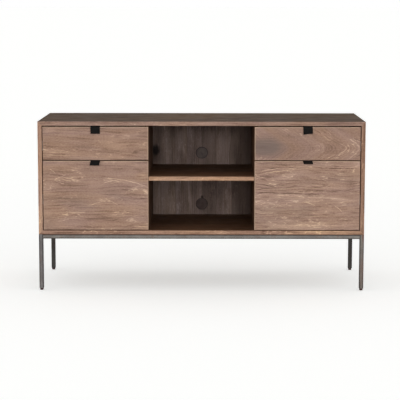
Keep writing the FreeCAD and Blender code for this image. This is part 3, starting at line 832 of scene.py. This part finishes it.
def screw_head(radius, height):
    """Pan head with a cross recess, its seat at the origin and its top towards +Z.

    Its profile is given in shares of the radius and the height.
    """
    shape = bmesh.new()
    profile = ((0.45, 0.97), (0.75, 0.82), (0.93, 0.5), (1.0, 0.15), (0.99, 0.0))
    steps = 24
    rings = []
    for share, level in profile:
        points = [radius * share * heading(360 * step / steps) for step in range(steps)]
        rings.append([shape.verts.new((point.x, point.y, height * level)) for point in points])
    for upper, lower in zip(rings, rings[1:]):
        for step in range(steps):
            following = (step + 1) % steps
            shape.faces.new((upper[step], lower[step], lower[following], upper[following]))
    shape.faces.new(list(reversed(rings[-1])))
    cut_cross(shape, rings[0], radius * 0.45, height)
    return shape


def cut_cross(shape, rim, radius, height):
    """Fill the top of a head with a face that dips into a tapered cross."""
    arm = radius * 0.26
    reach = radius * 0.86
    outline = []
    for quarter in range(4):
        turn = Matrix.Rotation(math.pi / 2 * quarter, 3, "Z")
        for x, y in ((reach, -arm), (reach, arm), (arm, arm)):
            outline.append(turn @ Vector((x, y, height * 0.985)))
    top = [shape.verts.new(point) for point in outline]
    floor = [shape.verts.new((point.x * 0.55, point.y * 0.55, height * 0.4)) for point in outline]
    count = len(outline)
    for index in range(count):
        following = (index + 1) % count
        shape.faces.new((top[index], top[following], floor[following], floor[index]))
    shape.faces.new(floor)
    bridge = [edge for edge in shape.edges if set(edge.verts) <= set(top) or set(edge.verts) <= set(rim)]
    bmesh.ops.triangle_fill(shape, edges=bridge, use_beauty=True)


def make_screws(name, places, direction, size, material, body):
    """One piece of many screw heads that all point the same way."""
    shape = bmesh.new()
    turn = Vector((0, 0, 1)).rotation_difference(Vector(DIRECTIONS[direction])).to_matrix().to_4x4()
    for number, place in enumerate(places):
        head = screw_head(*size)
        spin = Matrix.Rotation(math.radians(SCREW_TURN * number), 4, "Z")
        head.transform(Matrix.Translation(place) @ turn @ spin)
        copy = bpy.data.meshes.new("head")
        head.to_mesh(copy)
        head.free()
        shape.from_mesh(copy)
        bpy.data.meshes.remove(copy)
    make_piece(name, shape, material, body)


def evenly(low, high, count):
    return [low + (high - low) * index / (count - 1) for index in range(count)]


def make_back_screws(zinc):
    """Screws round the back panel, into the rebates and the dividers."""
    low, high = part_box("back_panel")
    inset = 5 * MM
    first_across = 40 * MM
    first_up = 90 * MM
    places = []
    for x in evenly(low.x + first_across, high.x - first_across, 7):
        for z in (low.z + inset, high.z - inset):
            places.append((x, high.y, z))
    for z in evenly(low.z + first_up, high.z - first_up, 3):
        for side in SIDES:
            divider_low, divider_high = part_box("divider_" + side)
            places.append(((divider_low.x + divider_high.x) / 2, high.y, z))
        for x in (low.x + inset, high.x - inset):
            places.append((x, high.y, z))
    make_screws("back_panel_screws", places, "back", PANEL_SCREW, zinc, "case")


def make_base_screws(zinc):
    """Screws up through the welded tabs of the base into the case."""
    places = []
    for end, inwards in (("front", 1), ("back", -1)):
        low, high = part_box("base_rail_" + end)
        row = (low.y + high.y + inwards * TUBE) / 2
        for x in (-FIXING_TAB_SPACING, 0.0, FIXING_TAB_SPACING):
            places.append((x, row, high.z - FIXING_TAB_THICKNESS))
    make_screws("base_fixing_screws", places, "down", BASE_SCREW, zinc, "case")


def make_tab_screws(drawer, zinc):
    """Two screws through the tab's tail into the back of the drawer front."""
    low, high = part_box(drawer + "_drawer_front")
    middle = (low.x + high.x) / 2
    aside = 11 * MM
    below_top = 15 * MM
    places = [(x, high.y, high.z - below_top) for x in (middle - aside, middle + aside)]
    make_screws(drawer + "_tab_screws", places, "back", TAB_SCREW, zinc, drawer + "_drawer")


def make_front_screws(drawer, zinc):
    """Four screws from inside the box that hold the drawer front."""
    low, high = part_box(drawer + "_box_ends")
    face = low.y + BOX_BOARD
    aside = 60 * MM
    above_floor = 45 * MM
    below_top = 30 * MM
    places = [(x, face, z) for x in (low.x + aside, high.x - aside)
              for z in (low.z + above_floor, high.z - below_top)]
    make_screws(drawer + "_front_screws", places, "back", FRONT_SCREW, zinc, drawer + "_drawer")


# ---------------------------------------------------------------- finishes on the nodes

def paint(names, material):
    for name in names:
        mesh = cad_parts[name].data
        mesh.materials.clear()
        mesh.materials.append(material)


FRONT_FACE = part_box("upper_left_drawer_front")[0].y


def front_board(behind, level, **how):
    """A drawer front's board: its heart lies behind the face by a distance, at a level."""
    return Board(heart=(FRONT_FACE + behind, level), **how)


# The marks of each front lie at metres from the middle of the case and up from the floor
FRONT_BOARDS = {
    "upper_left": front_board(
        0.06, 0.44, seed=11.0, taper=0.03, waver=13 * MM, tone=-0.01, contrast=0.75,
        pushes=[Spot(-0.68, 0.665, 0.05, 0.018, 9 * MM), Spot(-0.30, 0.68, 0.06, 0.04, -5 * MM)],
        warms=[Spot(-0.69, 0.665, 0.09, 0.03, 0.35), Spot(-0.40, 0.68, 0.07, 0.02, 0.2),
               Spot(-0.50, 0.72, 0.2, 0.05, 0.15)],
        glints=[Spot(-0.40, 0.69, 0.25, 0.07, -0.07)],
        lights=[Spot(-0.69, 0.656, 0.05, 0.007, 0.20), Spot(-0.71, 0.755, 0.03, 0.012, 0.14),
                Spot(-0.40, 0.68, 0.06, 0.014, 0.08), Spot(-0.68, 0.625, 0.06, 0.01, -0.12)]),
    "upper_right": front_board(
        0.022, 0.672, seed=23.0, taper=0.56, ring=24 * MM, arches=0.06, waver=9 * MM,
        tone=-0.065, contrast=0.5,
        pushes=[Spot(0.66, 0.72, 0.07, 0.03, 8 * MM)],
        glints=[Spot(0.34, 0.69, 0.12, 0.09, -0.12), Spot(0.64, 0.69, 0.12, 0.06, 0.07)],
        greys=[Spot(0.295, 0.676, 0.070, 0.036, 1.7)],
        lights=[Spot(0.295, 0.676, 0.066, 0.036, -0.27), Spot(0.43, 0.67, 0.05, 0.03, -0.10),
                Spot(0.60, 0.67, 0.03, 0.022, -0.12), Spot(0.68, 0.69, 0.04, 0.03, 0.06)]),
    "lower_left": front_board(
        0.09, 0.12, seed=35.0, waver=15 * MM, tone=0.02, contrast=0.7,
        pushes=[Spot(-0.60, 0.52, 0.07, 0.025, 13 * MM), Spot(-0.36, 0.50, 0.08, 0.03, -13 * MM)],
        veins=[Vein((-0.470, 0.531), (-0.245, 0.486), 12 * MM, 0.55),
               Vein((-0.464, 0.505), (-0.364, 0.512), 9 * MM, 0.45),
               Vein((-0.647, 0.534), (-0.558, 0.512), 3 * MM, 0.4),
               Vein((-0.690, 0.522), (-0.640, 0.538), 2 * MM, 0.45),
               Vein((-0.690, 0.522), (-0.636, 0.504), -2 * MM, 0.5),
               Vein((-0.540, 0.397), (-0.430, 0.427), 2 * MM, 0.35),
               Vein((-0.437, 0.427), (-0.385, 0.402), 2 * MM, 0.35),
               Vein((-0.708, 0.574), (-0.680, 0.550), 3 * MM, 0.6),
               Vein((-0.640, 0.371), (-0.535, 0.369), 1 * MM, 0.4),
               Vein((-0.320, 0.304), (-0.250, 0.300), 1 * MM, 0.4)],
        warms=[Spot(-0.27, 0.535, 0.03, 0.02, 0.4), Spot(-0.70, 0.38, 0.05, 0.06, 0.3)],
        lights=[Spot(-0.626, 0.508, 0.05, 0.008, -0.16), Spot(-0.45, 0.58, 0.2, 0.02, -0.04),
                Spot(-0.27, 0.535, 0.02, 0.014, 0.14), Spot(-0.432, 0.424, 0.006, 0.004, 0.4)]),
    "lower_right": front_board(
        0.09, 0.10, seed=47.0, waver=17 * MM, tone=0.055, contrast=1.1,
        pushes=[Spot(0.33, 0.495, 0.05, 0.02, 14 * MM), Spot(0.69, 0.51, 0.06, 0.04, 14 * MM)],
        veins=[Vein((0.250, 0.544), (0.446, 0.570), 6 * MM, 0.45),
               Vein((0.268, 0.561), (0.416, 0.584), 4 * MM, 0.45),
               Vein((0.298, 0.576), (0.470, 0.578), 4 * MM, -0.5),
               Vein((0.520, 0.582), (0.740, 0.578), -2 * MM, -0.55),
               Vein((0.250, 0.504), (0.351, 0.489), 1 * MM, -0.5),
               Vein((0.250, 0.477), (0.351, 0.488), 1 * MM, -0.35),
               Vein((0.250, 0.459), (0.357, 0.462), 4 * MM, -0.45),
               Vein((0.327, 0.462), (0.643, 0.447), 3 * MM, -0.35),
               Vein((0.327, 0.450), (0.735, 0.426), 5 * MM, 0.4),
               Vein((0.310, 0.415), (0.348, 0.406), 2 * MM, 0.6),
               Vein((0.322, 0.392), (0.348, 0.406), -2 * MM, 0.6),
               Vein((0.475, 0.421), (0.535, 0.402), 2 * MM, 0.6),
               Vein((0.622, 0.402), (0.660, 0.372), 2 * MM, 0.6),
               Vein((0.430, 0.300), (0.520, 0.300), 17 * MM, 0.4)],
        glints=[Spot(0.405, 0.545, 0.03, 0.02, 0.25), Spot(0.50, 0.45, 0.30, 0.12, 0.05)],
        warms=[Spot(0.5, 0.31, 0.2, 0.025, 0.2)],
        lights=[Spot(0.41, 0.545, 0.035, 0.018, 0.14), Spot(0.70, 0.505, 0.025, 0.03, -0.2),
                Spot(0.5, 0.31, 0.2, 0.018, 0.14)]),
}


def finish_case():
    top_board = Board(seed=2.0, tone=-0.09, lights=[Spot(-0.03, 0.785, 0.22, 0.03, 0.12)])
    bottom_board = Board(seed=61.0, tone=-0.04, warms=[Spot(0.57, 0.275, 0.12, 0.05, 0.5)],
                         lights=[Spot(0.57, 0.275, 0.12, 0.05, 0.3),
                                 Spot(-0.05, 0.275, 0.2, 0.05, 0.12)])
    uprights = {"left": Board(grain="Z", seed=6.0, heart=(0.1, -0.4), tone=0.12),
                "right": Board(grain="Z", seed=8.0, heart=(0.1, -0.4), tone=-0.14)}
    # The face tints paint shade on the top, the faces inside, the niche walls and the divider's front
    # edge, and paint light on the front edges of the side panels and the shelf
    paint(["top_panel"], board_wood("top_panel_wood", top_board, {
        "up": PAINTED_SHADE_TOP, "down": PAINTED_SHADE_INSIDE}, roughness=TOP_ROUGHNESS))
    paint(["bottom_panel"], bottom_panel_wood(bottom_board))
    paint(["niche_shelf"], board_wood("shelf_wood", Board(seed=71.0), {
        "up": PAINTED_SHADE_INSIDE, "down": PAINTED_SHADE_INSIDE, "front": PAINTED_LIGHT_SHELF_EDGE}))
    paint(["divider_left", "divider_right"], board_wood("divider_wood", uprights["right"], {
        "left": PAINTED_SHADE_WALL, "right": PAINTED_SHADE_WALL, "front": PAINTED_SHADE_EDGE}))
    for side, inwards in (("left", "right"), ("right", "left")):
        paint(["side_panel_" + side], board_wood(side + "_panel_wood", uprights[side], {
            inwards: PAINTED_SHADE_INSIDE, "front": PAINTED_LIGHT_EDGE}))
    paint(["back_panel"], back_panel_wood())


def finish_drawers(zinc, leather):
    box_board = Board(grain="Y", seed=81.0, heart=(0.2, 0.3), waver=8 * MM)
    box_wood = board_wood("drawer_box_wood", box_board, palette=RAW)
    aluminium = satin_aluminium()
    for drawer in DRAWERS:
        paint([drawer + "_drawer_front"], front_wood(drawer, FRONT_BOARDS[drawer]))
        paint([f"{drawer}_box_{piece}" for piece in ("sides", "ends", "bottom")], box_wood)
        paint([f"{drawer}_slide_{member}_members" for member in ("cabinet", "middle", "drawer")], zinc)
        if drawer.startswith("lower"):
            paint([drawer + "_hanging_file_rails"], aluminium)
        make_pull_tab(drawer, leather)
        make_tab_screws(drawer, zinc)
        make_front_screws(drawer, zinc)


FRONT_RAIL_TINT = (1.12, 1.12, 1.12)
SIDE_RAIL_TINT = (1.06, 1.06, 1.06)
# Painted shade on the back rail and the back legs
REAR_SHADE_TINT = (0.24, 0.235, 0.235)
LEG_TINTS = {"left": (0.93, 0.945, 1.02), "right": (0.97, 0.96, 0.95)}
LEG_STREAKS = {"left": (), "right": (Spot(0.255, 0.757, 0.025, 0.004, 0.8),
                                     Spot(0.11, 0.755, 0.05, 0.01, 0.4))}


def finish_base():
    rear_shaded = gunmetal("shaded_gunmetal_steel", REAR_SHADE_TINT)
    nylon = moulded_plastic("foot_nylon", FOOT_BROWN).material
    insert = moulded_plastic("insert_nylon", INSERT_BLACK).material
    paint(["base_rail_front"], gunmetal("front_rail_steel", FRONT_RAIL_TINT, "base_rail_front", "Z"))
    paint(["base_side_rails", "base_cross_rails"], gunmetal("gunmetal_steel", SIDE_RAIL_TINT))
    paint(["base_rail_back", "base_leg_back_left", "base_leg_back_right"], rear_shaded)
    for side in SIDES:
        leg = "base_leg_front_" + side
        paint([leg], gunmetal(side + "_leg_steel", LEG_TINTS[side], leg, "X", LEG_STREAKS[side]))
        for end in ("front", "back"):
            paint([f"levelling_foot_{end}_{side}"], nylon)
    paint(["leg_end_inserts"], insert)


def finish_plugs():
    for level, colour in PLUG_COLOURS.items():
        node = "cable_port_plug_" + level
        paint([node], plug_plastic(level + "_plug_plastic", node, colour))


# ---------------------------------------------------------------- studio

def make_floor():
    shape = bmesh.new()
    corners = ((-1, -1), (1, -1), (1, 1), (-1, 1))
    shape.faces.new([shape.verts.new((x * FLOOR_REACH, y * FLOOR_REACH, 0.0)) for x, y in corners])
    mesh = bpy.data.meshes.new("studio_floor")
    shape.to_mesh(mesh)
    shape.free()
    mesh.materials.append(floor_paint())
    floor = bpy.data.objects.new("studio_floor", mesh)
    bpy.context.scene.collection.objects.link(floor)


def make_world():
    """White to the camera and in mirrors; on the object, soft light, strongest low down in front."""
    world = bpy.data.worlds.new("studio_light")
    bpy.context.scene.world = world
    world.use_nodes = True
    sky = Nodes(world.node_tree)
    x, y, z = sky.split(sky.node("ShaderNodeTexCoord").outputs["Generated"])
    from_front = sky.spread(y, *BAND_FADES_BACK, 1.0, 0.0)
    low_down = sky.spread(z, *BAND_FADES_UP, 1.0, 0.0)
    band = sky.times(sky.times(from_front, low_down), BAND_LIGHT)
    overhead = sky.spread(z, *OVERHEAD_GROWS, 0.0, OVERHEAD_LIGHT)
    sideways = sky.spread(sky.math("ABSOLUTE", x), *SIDE_GROWS, 0.0, SIDE_LIGHT)
    light = sky.add(band, overhead, sideways, FILL_LIGHT)
    strength = sky.node("ShaderNodeMix", data_type="FLOAT")
    for index, value in ((0, sky.seen()), (2, light), (3, 1.0)):
        sky.feed(strength.inputs[index], value)
    background = sky.tree.nodes["Background"]
    sky.feed(background.inputs["Color"], (1.0, 1.0, 1.0, 1.0))
    sky.feed(background.inputs["Strength"], strength.outputs[0])


def make_camera():
    data = bpy.data.cameras.new("camera")
    data.lens = CAMERA_LENS
    data.sensor_width = CAMERA_SENSOR
    data.clip_end = 10000
    camera = bpy.data.objects.new("camera", data)
    camera.location = (CAMERA_SIDE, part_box("top_panel")[0].y - CAMERA_DISTANCE, CAMERA_HEIGHT)
    camera.rotation_euler = [math.radians(angle) for angle in
                             (90 - CAMERA_PITCH_DOWN, CAMERA_ROLL, CAMERA_TURN_LEFT)]
    bpy.context.scene.collection.objects.link(camera)
    bpy.context.scene.camera = camera


bpy.context.scene.view_settings.view_transform = "Standard"
make_camera()
make_world()
make_floor()
zinc = zinc_plate()
leather = black_leather()
finish_case()
finish_drawers(zinc, leather)
finish_base()
finish_plugs()
make_back_screws(zinc)
make_base_screws(zinc)

bpy.context.view_layer.update()
